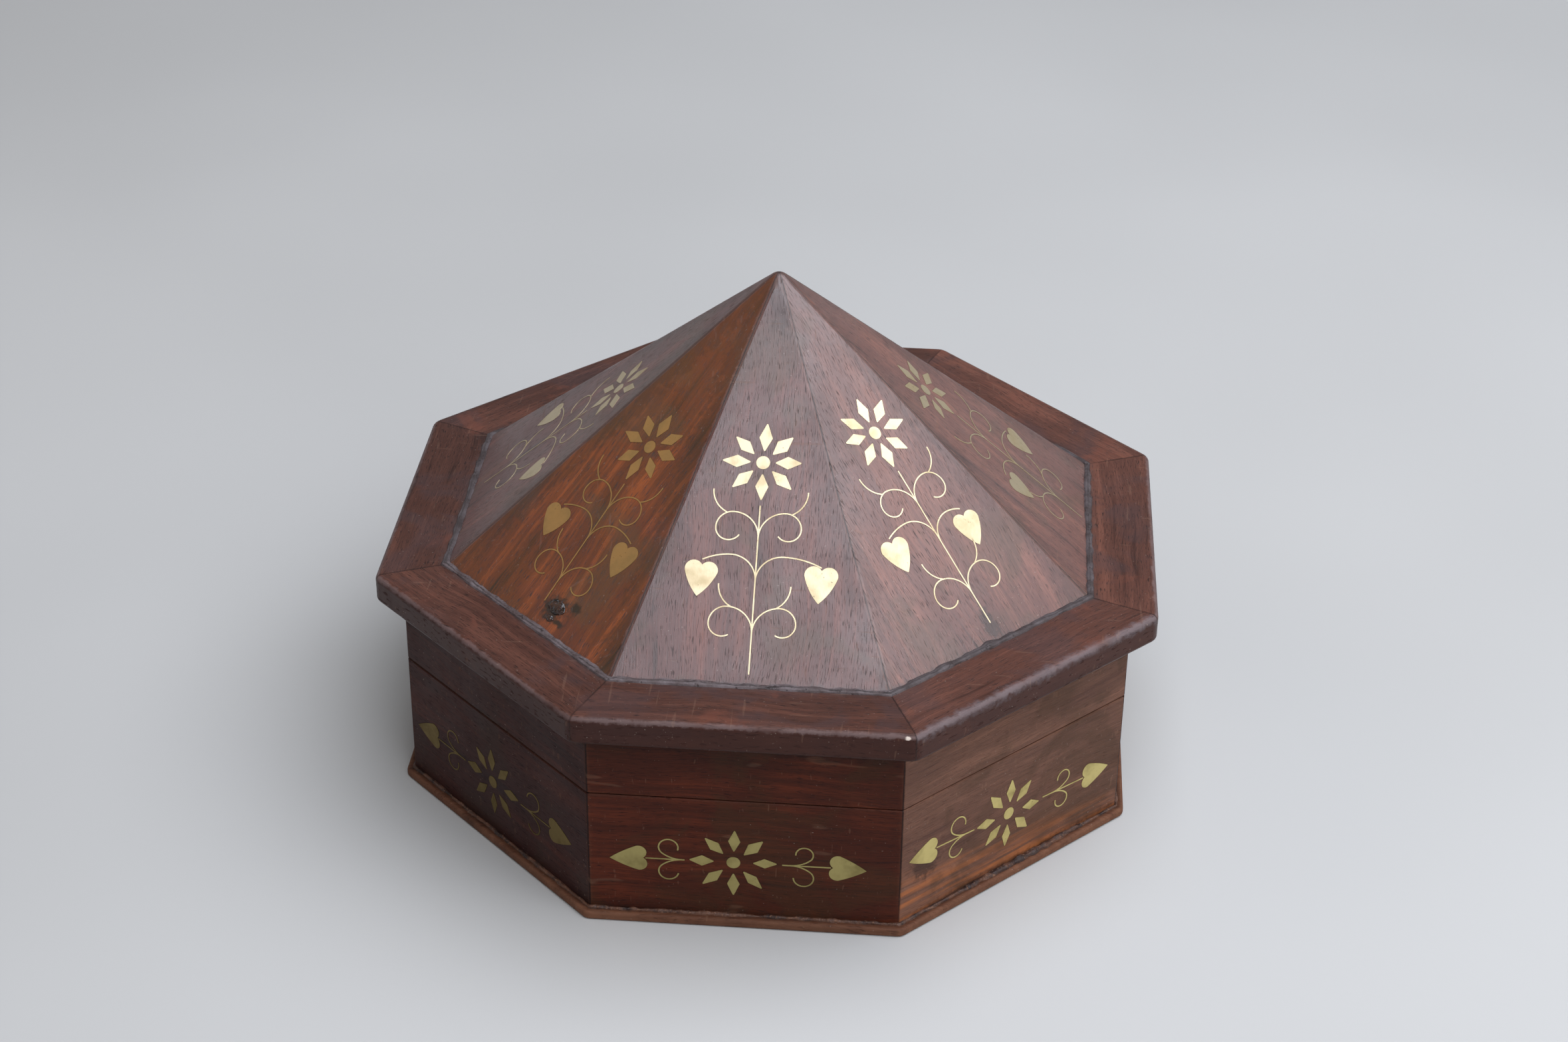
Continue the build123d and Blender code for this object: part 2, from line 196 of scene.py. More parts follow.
def make_wood_grain():
    """Rosewood grain. Vector is in metres with X along the grain; Seed picks another board."""
    inputs = (
        ("Vector", "vector"), ("Seed", "value"), ("Pale", "colour"), ("Middle", "colour"),
        ("Dark", "colour"), ("Streaks", "value"), ("Pores", "value"),
    )
    outputs = (("Color", "colour"), ("Height", "value"), ("Gloss", "value"))
    tree, n, given, out = node_group("wood_grain", inputs, outputs)
    seed = given["Seed"]
    shift = n.vector(n.math("MULTIPLY", seed, 0.731), n.math("MULTIPLY", seed, 0.417), 0.0)
    place = n.add("ShaderNodeVectorMath", {0: given["Vector"], 1: shift}, operation="ADD").outputs[0]
    x, y, z = n.split(place)
    wander = n.math("SUBTRACT", n.noise(n.scaled(place, 14.0, 22.0, 22.0), 1.0, 2.0), 0.5)
    across = n.math("MULTIPLY_ADD", wander, 0.012, y)
    grain = n.vector(x, across, z)
    bands = n.noise(n.scaled(grain, 7.0, 150.0, 60.0), 1.0, 4.0, 0.62)
    streaks = n.noise(n.scaled(grain, 22.0, 620.0, 200.0), 1.0, 3.0, 0.6)
    fibres = n.noise(n.scaled(grain, 120.0, 3200.0, 900.0), 1.0, 2.0, 0.6)
    pores = n.noise(n.scaled(grain, 330.0, 4300.0, 1500.0), 1.0, 1.0, 0.5)
    clouds = n.noise(place, 28.0, 3.0, 0.6)
    tone = n.math("MULTIPLY_ADD", bands, 0.62, n.math("MULTIPLY", streaks, 0.38))
    tone = n.math("MULTIPLY_ADD", n.math("SUBTRACT", clouds, 0.5), 0.35, tone)
    dark_fac = n.remap(tone, 0.44, 0.33)
    pale_fac = n.remap(tone, 0.47, 0.64)
    colour = n.blend(pale_fac, given["Middle"], given["Pale"])
    colour = n.blend(n.math("MULTIPLY", dark_fac, given["Streaks"]), colour, given["Dark"])
    fibre_tone = n.remap(fibres, 0.3, 0.7, 0.80, 1.16, smooth=False)
    colour = n.shaded(colour, fibre_tone)
    pore_fac = n.math("MULTIPLY", n.remap(pores, 0.60, 0.68), given["Pores"])
    colour = n.blend(pore_fac, colour, given["Dark"])
    height = n.math("MULTIPLY_ADD", pore_fac, -1.0, n.math("MULTIPLY", fibres, 0.35))
    haze = n.math("MULTIPLY", n.math("SUBTRACT", clouds, 0.5), 0.22)
    gloss = n.math("MULTIPLY_ADD", pore_fac, 0.35, haze)
    for socket, value in (("Color", colour), ("Height", height), ("Gloss", gloss)):
        tree.links.new(value, out.inputs[socket])
    return tree


def make_near_line():
    """A ragged mask that is 1 at a line and gone one Width away from it."""
    inputs = (("Vector", "vector"), ("Distance", "value"), ("Width", "value"), ("Ragged", "value"))
    tree, n, given, out = node_group("near_line", inputs, (("Mask", "value"),))
    rough = n.math("SUBTRACT", n.noise(given["Vector"], 420.0, 4.0, 0.65), 0.5)
    patchy = n.noise(given["Vector"], 75.0, 2.0)
    ragged = n.math("MULTIPLY", n.math("MULTIPLY", rough, given["Ragged"]), 2.6)
    reach = n.math("DIVIDE", n.math("ABSOLUTE", given["Distance"]), given["Width"])
    close = n.remap(n.math("ADD", reach, ragged), 1.0, 0.15)
    mask = n.math("MULTIPLY", close, n.remap(patchy, 0.25, 0.55, 0.35, 1.0))
    tree.links.new(mask, out.inputs["Mask"])
    return tree


def make_surface_wear():
    """Fine scratches, rubbed patches and settled dust, as masks."""
    outputs = (("Scratches", "value"), ("Smudges", "value"), ("Specks", "value"))
    tree, n, given, out = node_group("surface_wear", (("Vector", "vector"),), outputs)
    place = given["Vector"]
    one_way = n.noise(n.scaled(place, 900.0, 60.0, 260.0), 1.0, 1.0)
    other_way = n.noise(n.scaled(place, 70.0, 800.0, 300.0), 1.0, 1.0)
    scratches = n.math("MAXIMUM", n.remap(one_way, 0.70, 0.76), n.remap(other_way, 0.71, 0.77))
    smudges = n.remap(n.noise(place, 46.0, 4.0, 0.6, 0.6), 0.38, 0.68)
    specks = n.remap(n.noise(place, 1500.0, 1.0), 0.72, 0.78)
    for socket, value in (("Scratches", scratches), ("Smudges", smudges), ("Specks", specks)):
        tree.links.new(value, out.inputs[socket])
    return tree


BOARD_PLACE = make_board_place()
WOOD_GRAIN = make_wood_grain()
NEAR_LINE = make_near_line()
SURFACE_WEAR = make_surface_wear()


# ------------------------------------------------------------------ materials
def new_material(name):
    material = bpy.data.materials.new(name)
    material.use_nodes = True
    material.node_tree.nodes.clear()
    n = Nodes(material.node_tree)
    shader = n.add("ShaderNodeBsdfPrincipled")
    output = n.add("ShaderNodeOutputMaterial")
    material.node_tree.links.new(shader.outputs[0], output.inputs[0])
    place = n.add("ShaderNodeTexCoord").outputs["Object"]
    return material, n, shader, place


def join(n, shader, **sockets):
    for name, value in sockets.items():
        n.tree.links.new(value, shader.inputs[name.replace("_", " ")])


def bump(n, shader, height, strength, distance):
    inputs = {"Height": height, "Strength": strength, "Distance": distance}
    join(n, shader, Normal=n.add("ShaderNodeBump", inputs).outputs[0])


def same(n, value, number):
    """1 where the value is this whole number."""
    return n.math("COMPARE", value, number, 0.4)


def spot(n, across, up, mark, ragged):
    """A ragged round mask at a mark's place on a board."""
    (mark_across, mark_up), (half_width, half_height) = mark
    x = n.math("DIVIDE", n.math("SUBTRACT", across, mark_across), half_width)
    y = n.math("DIVIDE", n.math("SUBTRACT", up, mark_up), half_height)
    reach = n.math("SQRT", n.math("ADD", n.math("MULTIPLY", x, x), n.math("MULTIPLY", y, y)))
    return n.remap(n.math("ADD", reach, ragged), 1.15, 0.45)


def near(n, place, distance, width, uneven):
    """A mask for what lies along a line, from the distance to it."""
    inputs = {"Vector": place, "Distance": distance, "Width": width, "Ragged": uneven}
    return n.use(NEAR_LINE, inputs)["Mask"]


def torn(n, place, scale, detail, roughness, amount):
    """A rough value about zero, to tear the edge of a mark."""
    rough = n.math("SUBTRACT", n.noise(place, scale, detail, roughness), 0.5)
    return n.math("MULTIPLY", rough, amount)


def to_mitre(n, at):
    """How far along its side a point is from the mitre at the side's end."""
    along = n.math("MULTIPLY", n.math("ABSOLUTE", at["Along"]), -1.0)
    return n.math("MULTIPLY_ADD", at["Out"], CORNER_RATIO, along)


def tinted(n, colour, *layers):
    """Lays tints over a colour in turn, each as strong as its mask and strength say."""
    for mask, strength, tint in layers:
        colour = n.blend(n.math("MULTIPLY", mask, strength), colour, tint)
    return colour


RAW_GAIN = rgb(2.1, 2.4, 2.4)
RAW_WOOD = rgb(0.175, 0.085, 0.047)
ROOF_LACQUER_IOR = 1.78
WALL_OIL_IOR = 1.22
MOULDING_LACQUER_IOR = 1.27


def bare_wood(n, grain):
    """The same grain with no finish on it, as it is inside the box."""
    return n.blend(0.5, n.blend(1.0, grain["Color"], RAW_GAIN, "MULTIPLY"), RAW_WOOD)


def finish_wood(n, shader, place, colour, grain, wear, rubbed, raw, gloss):
    """Lacquer over the grain: worn edges, smudges, scratches, and a dull look where raw."""
    roughness = n.math("ADD", n.math("MULTIPLY_ADD", wear["Smudges"], 0.13, gloss), grain["Gloss"])
    roughness = n.math("MULTIPLY_ADD", rubbed, 0.22, roughness)
    roughness = n.math("MULTIPLY_ADD", wear["Scratches"], 0.12, roughness)
    roughness = n.math("MULTIPLY_ADD", raw, 0.4, roughness, clamp=True)
    colour = tinted(
        n, colour,
        (wear["Specks"], 0.32, rgb(0.34, 0.27, 0.23)),
        (wear["Scratches"], 0.10, rgb(0.34, 0.20, 0.13)),
    )
    height = n.math("MULTIPLY_ADD", wear["Scratches"], -0.25, grain["Height"])
    join(n, shader, Base_Color=colour, Roughness=roughness)
    bump(n, shader, height, strength=0.35, distance=0.00012)


def make_roof_wood():
    """Lacquered roof boards: a warm one with a knot, two painted lighter for the light on the right,
    five alike.
    """
    material, n, shader, place = new_material("roof_boards_lacquered")
    at = n.use(BOARD_PLACE, {"Vector": place})
    run_in = n.math("SUBTRACT", ROOF_APOTHEM, at["Out"])
    rise = n.math("SUBTRACT", at["Up"], RING_TOP)
    slope_cos, slope_sin = math.cos(ROOF_SLOPE), math.sin(ROOF_SLOPE)
    up = n.math("MULTIPLY_ADD", run_in, slope_cos, n.math("MULTIPLY", rise, slope_sin))
    depth = n.math("MULTIPLY_ADD", run_in, slope_sin, n.math("MULTIPLY", rise, -slope_cos))
    ridge = to_mitre(n, at)
    warm = same(n, at["Side"], FRONT_LEFT)
    # Painted light: the front right and right boards get paler colours for the light that falls on
    # that side.
    lit_right_boards = n.math("MAXIMUM", same(n, at["Side"], FRONT_RIGHT), same(n, at["Side"], RIGHT))
    pale = n.blend(lit_right_boards, rgb(0.158, 0.050, 0.036), rgb(0.205, 0.080, 0.056))
    middle = n.blend(lit_right_boards, rgb(0.098, 0.032, 0.026), rgb(0.130, 0.050, 0.038))
    dark = n.blend(warm, rgb(0.028, 0.0095, 0.007), rgb(0.016, 0.0055, 0.004))
    inputs = {
        "Vector": n.vector(up, at["Along"], depth),
        "Seed": n.math("ADD", at["Side"], 0.6),
        "Pale": n.blend(warm, pale, rgb(0.262, 0.058, 0.014)),
        "Middle": n.blend(warm, middle, rgb(0.115, 0.024, 0.008)),
        "Dark": dark, "Streaks": 0.9, "Pores": 0.9,
    }
    grain = n.use(WOOD_GRAIN, inputs)
    wear = n.use(SURFACE_WEAR, {"Vector": place})
    raw = n.remap(depth, *ROOF_RAW_DEPTH)
    mitre_line = near(n, place, ridge, width=0.00042, uneven=0.4)
    rubbed = near(n, place, ridge, width=0.0010, uneven=0.8)
    stain = near(n, place, ridge, width=0.0075, uneven=0.8)
    stain = n.math("MULTIPLY", stain, n.math("MULTIPLY_ADD", warm, 0.9, 1.0), clamp=True)
    # Painted shade: the foot of each roof board is darkened along the crevice at the moulding.
    foot = near(n, place, up, width=0.0014, uneven=1.2)
    ragged = torn(n, place, 520.0, 4.0, 0.65, amount=1.8)
    by_stem = spot(n, at["Along"], up, STEM_STAIN, ragged)
    by_stem = n.math("MULTIPLY", by_stem, same(n, at["Side"], FRONT_RIGHT))
    first_mark, *more_marks = KNOT_MARKS
    knot = spot(n, at["Along"], up, first_mark, ragged)
    for mark in more_marks:
        knot = n.math("MAXIMUM", knot, spot(n, at["Along"], up, mark, ragged))
    knot = n.math("MULTIPLY", knot, warm)
    tip = spot(n, at["Along"], up, TIP_STAIN, ragged)
    tip = n.math("MULTIPLY", tip, same(n, at["Side"], FRONT))
    cloudy = n.remap(n.noise(place, 36.0, 4.0, 0.62, 0.9), 0.48, 0.62)
    sunned = n.math("MULTIPLY", n.remap(up, 0.050, 0.095), warm)
    colour = tinted(
        n, grain["Color"],
        (cloudy, 0.42, rgb(0.072, 0.044, 0.025)),
        (sunned, 0.30, rgb(0.235, 0.060, 0.014)),
        (stain, 0.38, dark),
        (foot, 0.45, rgb(0.040, 0.024, 0.022)),
        (tip, 0.55, dark),
        (by_stem, 0.75, rgb(0.02, 0.009, 0.006)),
        (knot, 0.95, rgb(0.010, 0.005, 0.004)),
        (rubbed, 0.22, rgb(0.20, 0.085, 0.05)),
        (mitre_line, 0.8, rgb(0.018, 0.009, 0.008)),
    )
    colour = n.blend(raw, colour, bare_wood(n, grain))
    finish_wood(n, shader, place, colour, grain, wear, rubbed, raw, gloss=0.27)
    shader.inputs["IOR"].default_value = ROOF_LACQUER_IOR
    return material


def make_wall_wood():
    """Wall boards: seven dark sides, the front left one darkened by painted shade, and a paler one
    with sapwood streaks along its foot, painted lighter too for the light on that side.
    """
    material, n, shader, place = new_material("wall_boards_lacquered")
    at = n.use(BOARD_PLACE, {"Vector": place})
    mitre = to_mitre(n, at)
    depth = n.math("SUBTRACT", WALL_APOTHEM, at["Out"])
    board = n.vector(at["Along"], at["Up"], depth)
    # The front right wall: a paler board with sapwood, its colours painted lighter too for the light
    # that falls on that side.
    sap_and_lit_side = same(n, at["Side"], FRONT_RIGHT)
    # Painted shade: the front left wall is darkened for the shade on that side.
    shaded_left_side = same(n, at["Side"], FRONT_LEFT)
    inputs = {
        "Vector": board,
        "Seed": n.math("ADD", at["Side"], 11.3),
        "Pale": n.blend(sap_and_lit_side, rgb(0.094, 0.0195, 0.0080), rgb(0.170, 0.080, 0.052)),
        "Middle": n.blend(sap_and_lit_side, rgb(0.051, 0.0115, 0.0056), rgb(0.120, 0.056, 0.037)),
        "Dark": n.blend(sap_and_lit_side, rgb(0.014, 0.005, 0.0045), rgb(0.075, 0.033, 0.024)),
        "Streaks": 0.85, "Pores": 0.7,
    }
    grain = n.use(WOOD_GRAIN, inputs)
    wear = n.use(SURFACE_WEAR, {"Vector": place})
    raw = n.remap(depth, *WALL_RAW_DEPTH)
    sap_lift = n.math("MULTIPLY_ADD", at["Along"], 0.11, at["Up"])
    sap_stretch = n.noise(n.scaled(board, 16.0, 330.0, 60.0), 1.0, 3.0)
    sap = n.math("MULTIPLY", n.remap(sap_lift, 0.017, 0.006), n.remap(sap_stretch, 0.40, 0.62))
    sap = n.math("MULTIPLY", sap, sap_and_lit_side)
    near_split = n.math("SUBTRACT", at["Up"], SPLIT_Z + 0.00015)
    split_edge = near(n, place, near_split, width=0.0009, uneven=0.7)
    # Rubbed wear along the corners, with a painted highlight in it.
    corner_wear_and_highlight = near(n, place, mitre, width=0.0011, uneven=0.9)
    corner_line = near(n, place, mitre, width=0.00045, uneven=0.4)
    near_board = n.math("SUBTRACT", at["Up"], BOARD_TOP)
    # Darker along the wall's foot, at the base board.
    dark_foot_band = near(n, place, near_board, width=0.0026, uneven=0.9)
    under_ring = n.math("SUBTRACT", at["Up"], RING_Z)
    shade = near(n, place, under_ring, width=0.0085, uneven=0.5)
    shade_strength = n.math("MULTIPLY_ADD", sap_and_lit_side, -0.35, 0.65)
    rubbed = n.math("MULTIPLY", n.math("MAXIMUM", split_edge, corner_wear_and_highlight), 0.6)
    olive = n.remap(n.noise(place, 33.0, 4.0, 0.6, 0.7), 0.48, 0.60)
    ragged = torn(n, place, 520.0, 4.0, 0.65, amount=2.2)
    by_heart = spot(n, at["Along"], at["Up"], HEART_STAIN, ragged)
    by_heart = n.math("MULTIPLY", by_heart, sap_and_lit_side)
    colour = tinted(
        n, grain["Color"],
        (sap, 0.8, rgb(0.36, 0.115, 0.035)),
        (dark_foot_band, 0.6, rgb(0.020, 0.010, 0.008)),
        (shade, shade_strength, rgb(0.012, 0.005, 0.004)),
        (olive, 0.40, rgb(0.042, 0.021, 0.009)),
        (shaded_left_side, 0.5, rgb(0.011, 0.004, 0.006)),
        (by_heart, 0.6, rgb(0.018, 0.009, 0.007)),
        (rubbed, 0.30, rgb(0.13, 0.055, 0.032)),
        (corner_line, 0.8, rgb(0.010, 0.005, 0.005)),
    )
    colour = n.blend(raw, colour, bare_wood(n, grain))
    finish_wood(n, shader, place, colour, grain, wear, rubbed, raw, gloss=0.33)
    shader.inputs["IOR"].default_value = WALL_OIL_IOR
    return material


def make_moulding_wood():
    """Lacquered moulding: mottled on top, ruddy at its side, pale along its rubbed arris with a
    painted highlight there, painted shade on its outer side and lower edge, painted light on the
    right-hand sides.
    """
    material, n, shader, place = new_material("moulding_lacquered")
    at = n.use(BOARD_PLACE, {"Vector": place})
    mitre = to_mitre(n, at)
    inputs = {
        "Vector": n.vector(at["Along"], at["Out"], at["Up"]),
        "Seed": n.math("ADD", at["Side"], 23.1),
        "Pale": rgb(0.112, 0.045, 0.031), "Middle": rgb(0.070, 0.029, 0.021),
        "Dark": rgb(0.022, 0.010, 0.008), "Streaks": 0.7, "Pores": 0.9,
    }
    grain = n.use(WOOD_GRAIN, inputs)
    wear = n.use(SURFACE_WEAR, {"Vector": place})
    under_roof = n.remap(at["Out"], ROOF_APOTHEM - 0.0009, ROOF_APOTHEM - 0.0017)
    within_walls = n.remap(at["Out"], WALL_APOTHEM - 0.003, WALL_APOTHEM - 0.006)
    underside = n.remap(at["Up"], RING_Z + 0.0012, RING_Z + 0.0006)
    inside = n.math("MAXIMUM", under_roof, n.math("MULTIPLY", underside, within_walls))
    arris_in = n.math("SUBTRACT", at["Out"], RING_APOTHEM - 0.0005)
    arris_down = n.math("SUBTRACT", at["Up"], RING_TOP - 0.0005)
    arris_in = n.math("MULTIPLY", arris_in, arris_in)
    arris_down = n.math("MULTIPLY", arris_down, arris_down)
    arris = n.math("SQRT", n.math("ADD", arris_in, arris_down))
    # Rubbed wear along the arris, and a painted highlight on it.
    rim_wear_and_highlight = near(n, place, arris, width=0.0010, uneven=0.9)
    # Painted reflection: a wide pale grey-blue band along the front right arris, for the light it
    # reflects.
    wide_rim_reflection = near(n, place, arris, width=0.0024, uneven=0.9)
    wide_rim_reflection = n.math("MULTIPLY", wide_rim_reflection, same(n, at["Side"], FRONT_RIGHT))
    ragged = torn(n, place, 900.0, 3.0, 0.55, amount=1.4)
    chip = spot(n, at["Along"], at["Up"], RIM_CHIP, ragged)
    chip = n.math("MULTIPLY", chip, same(n, at["Side"], FRONT))
    # Painted shade: the outer side of the moulding is darkened.
    shaded_side_face = n.remap(at["Out"], RING_APOTHEM - 0.0009, RING_APOTHEM - 0.0002)
    mitre_line = near(n, place, mitre, width=0.00045, uneven=0.5)
    seam = near(n, place, n.math("SUBTRACT", at["Out"], ROOF_APOTHEM), width=0.0030, uneven=0.9)
    # Painted shade: the moulding's lower edge and underside are darkened.
    low = n.remap(at["Up"], RING_Z + 0.0022, RING_Z + 0.0004)
    mauve = n.remap(n.noise(place, 46.0, 3.0, 0.6, 0.8), 0.48, 0.64)
    ruddy = n.remap(n.noise(place, 61.0, 4.0, 0.62, 0.5), 0.56, 0.70)
    # Painted light: the right-hand sides of the moulding are made lighter.
    from_right = n.math("ABSOLUTE", n.math("SUBTRACT", at["Side"], RIGHT))
    lit_right_hand = n.math("LESS_THAN", from_right, 1.5)
    colour = tinted(
        n, n.shaded(grain["Color"], n.math("MULTIPLY_ADD", lit_right_hand, 0.42, 1.0)),
        (mauve, 0.42, rgb(0.058, 0.036, 0.037)),
        (ruddy, 0.45, rgb(0.165, 0.056, 0.036)),
        (seam, 0.40, rgb(0.085, 0.058, 0.055)),
        (low, 0.5, rgb(0.018, 0.008, 0.006)),
        (shaded_side_face, 0.80, rgb(0.034, 0.0105, 0.0075)),
        (rim_wear_and_highlight, 0.55, rgb(0.185, 0.130, 0.125)),
        (wide_rim_reflection, 0.40, rgb(0.170, 0.150, 0.165)),
        (chip, 1.0, rgb(0.70, 0.60, 0.52)),
        (mitre_line, 0.60, rgb(0.014, 0.008, 0.007)),
    )
    colour = n.blend(inside, colour, bare_wood(n, grain))
    finish_wood(n, shader, place, colour, grain, wear, rim_wear_and_highlight, inside, gloss=0.30)
    shader.inputs["IOR"].default_value = MOULDING_LACQUER_IOR
    return material


def make_base_wood():
    """Oiled base board, worn pale at its edge and darker along the walls."""
    material, n, shader, place = new_material("base_board_oiled")
    at = n.use(BOARD_PLACE, {"Vector": place})
    inputs = {
        "Vector": place, "Seed": 37.7,
        "Pale": rgb(0.150, 0.062, 0.034), "Middle": rgb(0.090, 0.035, 0.020),
        "Dark": rgb(0.028, 0.011, 0.008), "Streaks": 0.8, "Pores": 0.7,
    }
    grain = n.use(WOOD_GRAIN, inputs)
    wear = n.use(SURFACE_WEAR, {"Vector": place})
    edge = near(n, place, n.math("SUBTRACT", at["Out"], BOARD_APOTHEM), width=0.0018, uneven=0.9)
    # Darker along the foot of the walls.
    seam = near(n, place, n.math("SUBTRACT", at["Out"], WALL_APOTHEM), width=0.0015, uneven=0.8)
    under = n.remap(at["Up"], 0.0006, 0.0001)
    colour = tinted(
        n, grain["Color"],
        (edge, 0.4, rgb(0.20, 0.095, 0.055)),
        (seam, 0.6, rgb(0.03, 0.014, 0.010)),
    )
    finish_wood(n, shader, place, colour, grain, wear, edge, under, gloss=0.40)
    shader.inputs["IOR"].default_value = WALL_OIL_IOR
    return material


def make_inlay_brass(name, bright, dull, uneven):
    """Hand-cut sheet brass, sanded flush. uneven is how strongly painted shade darkens the front
    left side's brass and painted light brightens the front right side's.
    """
    material, n, shader, place = new_material(name)
    side = n.use(BOARD_PLACE, {"Vector": place})["Side"]
    wear = n.use(SURFACE_WEAR, {"Vector": place})
    patches = n.noise(place, 130.0, 3.0, 0.6)
    sanding = n.noise(n.scaled(place, 2600.0, 260.0, 1900.0), 1.0, 2.0)
    tarnish = n.remap(patches, 0.42, 0.72)
    shaded_left_side = same(n, side, FRONT_LEFT)
    # Painted shade on the front left side's brass and painted light on the front right side's.
    shade = n.math("MULTIPLY_ADD", shaded_left_side, -uneven, 1.0)
    shade = n.math("MULTIPLY_ADD", same(n, side, FRONT_RIGHT), 1.15 * uneven, shade)
    colour = n.shaded(tinted(n, bright, (tarnish, 0.7, dull)), shade)
    # Painted warm reflection on the front left side's brass.
    colour = n.blend(shaded_left_side, colour, rgb(1.02, 0.83, 0.58), "MULTIPLY")
    colour = tinted(n, colour, (wear["Specks"], 0.6, rgb(0.10, 0.06, 0.03)))
    roughness = n.math("MULTIPLY_ADD", tarnish, 0.12, 0.34)
    roughness = n.math("MULTIPLY_ADD", sanding, 0.12, roughness)
    shader.inputs["Metallic"].default_value = 1.0
    join(n, shader, Base_Color=colour, Roughness=roughness)
    rough = n.math("ADD", sanding, n.math("MULTIPLY", patches, 1.4))
    bump(n, shader, rough, strength=0.25, distance=0.00006)
    return material


def make_hinge_brass():
    """Drawn brass, dulled in patches by handling."""
    material, n, shader, place = new_material("hinge_brass_drawn")
    wear = n.use(SURFACE_WEAR, {"Vector": place})
    drawn = n.noise(n.scaled(place, 90.0, 3600.0, 3600.0), 1.0, 2.0)
    dull = n.remap(n.noise(place, 240.0, 3.0), 0.4, 0.7)
    colour = n.blend(dull, rgb(0.72, 0.52, 0.24), rgb(0.40, 0.25, 0.10))
    roughness = n.math("MULTIPLY_ADD", dull, 0.2, n.math("MULTIPLY_ADD", drawn, 0.12, 0.24))
    roughness = n.math("MULTIPLY_ADD", wear["Scratches"], 0.15, roughness)
    shader.inputs["Metallic"].default_value = 1.0
    join(n, shader, Base_Color=colour, Roughness=roughness)
    bump(n, shader, drawn, strength=0.2, distance=0.00004)
    return material


def dress(material, *nodes):
    """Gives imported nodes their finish."""
    for node in nodes:
        mesh = NODES[node].data
        mesh.materials.clear()
        mesh.materials.append(material)


roof_wood = make_roof_wood()
wall_wood = make_wall_wood()
moulding_wood = make_moulding_wood()
roof_brass = make_inlay_brass(
    "roof_inlay_brass", bright=rgb(0.70, 0.585, 0.39), dull=rgb(0.52, 0.415, 0.235), uneven=0.08
)
wall_brass = make_inlay_brass(
    "wall_inlay_brass", bright=rgb(0.40, 0.335, 0.135), dull=rgb(0.20, 0.158, 0.060), uneven=0.58
)
hinge_brass = make_hinge_brass()
for side in SIDES:
    dress(roof_wood, f"roof_panel_{side}")
    dress(wall_wood, f"base_wall_{side}", f"lid_wall_{side}")
    dress(moulding_wood, f"lid_moulding_{side}")
    dress(roof_brass, f"roof_inlay_{side}")
    dress(wall_brass, f"base_inlay_{side}")
dress(make_base_wood(), "base_board")
for hand in ("left", "right"):
    dress(hinge_brass, f"hinge_{hand}_base_leaf", f"hinge_{hand}_lid_leaf", f"hinge_{hand}_pin")
dress(hinge_brass, "base_hinge_screws", "lid_hinge_screws")


# ------------------------------------------------------------------ new pieces
def make_felt():
    """Green wool felt with matted fibres, worn paler in places."""
    material, n, shader, place = new_material("lining_felt_green")
    fibres = n.noise(n.scaled(place, 2400.0, 2400.0, 2400.0), 1.0, 4.0, 0.7, 1.4)
    clumps = n.noise(place, 340.0, 3.0, 0.6, 0.5)
    worn = n.remap(n.noise(place, 22.0, 4.0, 0.6), 0.45, 0.75)
    colour = n.blend(n.remap(fibres, 0.3, 0.7), rgb(0.012, 0.040, 0.022), rgb(0.040, 0.098, 0.056))
    colour = tinted(
        n, colour,
        (n.remap(clumps, 0.45, 0.7), 0.5, rgb(0.052, 0.112, 0.066)),
        (worn, 0.35, rgb(0.095, 0.125, 0.085)),
    )
    roughness = n.remap(fibres, 0.2, 0.8, 0.86, 0.98)
    shader.inputs["IOR"].default_value = 1.3
    shader.inputs["Sheen Weight"].default_value = 0.35
    shader.inputs["Sheen Roughness"].default_value = 0.5
    join(n, shader, Base_Color=colour, Roughness=roughness)
    bump(n, shader, n.math("MULTIPLY_ADD", clumps, 1.2, fibres), strength=0.8, distance=0.0004)
    return material


def make_filler():
    """Sawdust-and-glue filler: greyish mauve, pitted, cracked along its length."""
    material, n, shader, place = new_material("seam_filler_dried")
    grit = n.noise(place, 1500.0, 3.0, 0.7)
    tone = n.noise(place, 160.0, 4.0, 0.6)
    pits = n.remap(n.noise(place, 700.0, 3.0, 0.6), 0.60, 0.70)
    at = n.use(BOARD_PLACE, {"Vector": place})
    crack_off = n.math("SUBTRACT", at["Out"], ROOF_APOTHEM + 0.0005)
    crack = near(n, place, crack_off, width=0.00038, uneven=1.0)
    unshaded_front_sides = n.math("MAXIMUM", same(n, at["Side"], FRONT), same(n, at["Side"], FRONT_LEFT))
    colour = n.blend(n.remap(tone, 0.35, 0.65), rgb(0.055, 0.036, 0.035), rgb(0.140, 0.112, 0.118))
    colour = tinted(n, colour, (n.remap(grit, 0.4, 0.7), 0.3, rgb(0.18, 0.145, 0.145)))
    # Painted shade: the filler on every side but the front and front left is darkened.
    colour = n.shaded(colour, n.math("MULTIPLY_ADD", unshaded_front_sides, 0.38, 0.62))
    crack_strength = n.math("MULTIPLY_ADD", unshaded_front_sides, 0.40, 0.45)
    open_crack = n.math("MULTIPLY", crack_strength, n.remap(tone, 0.42, 0.52))
    colour = tinted(
        n, colour,
        (crack, open_crack, rgb(0.012, 0.007, 0.006)),
        (pits, 0.8, rgb(0.018, 0.009, 0.008)),
    )
    shader.inputs["IOR"].default_value = 1.45
    join(n, shader, Base_Color=colour, Roughness=n.remap(grit, 0.3, 0.7, 0.45, 0.75))
    bump(n, shader, n.math("MULTIPLY_ADD", pits, -0.8, grit), strength=0.6, distance=0.00018)
    return material


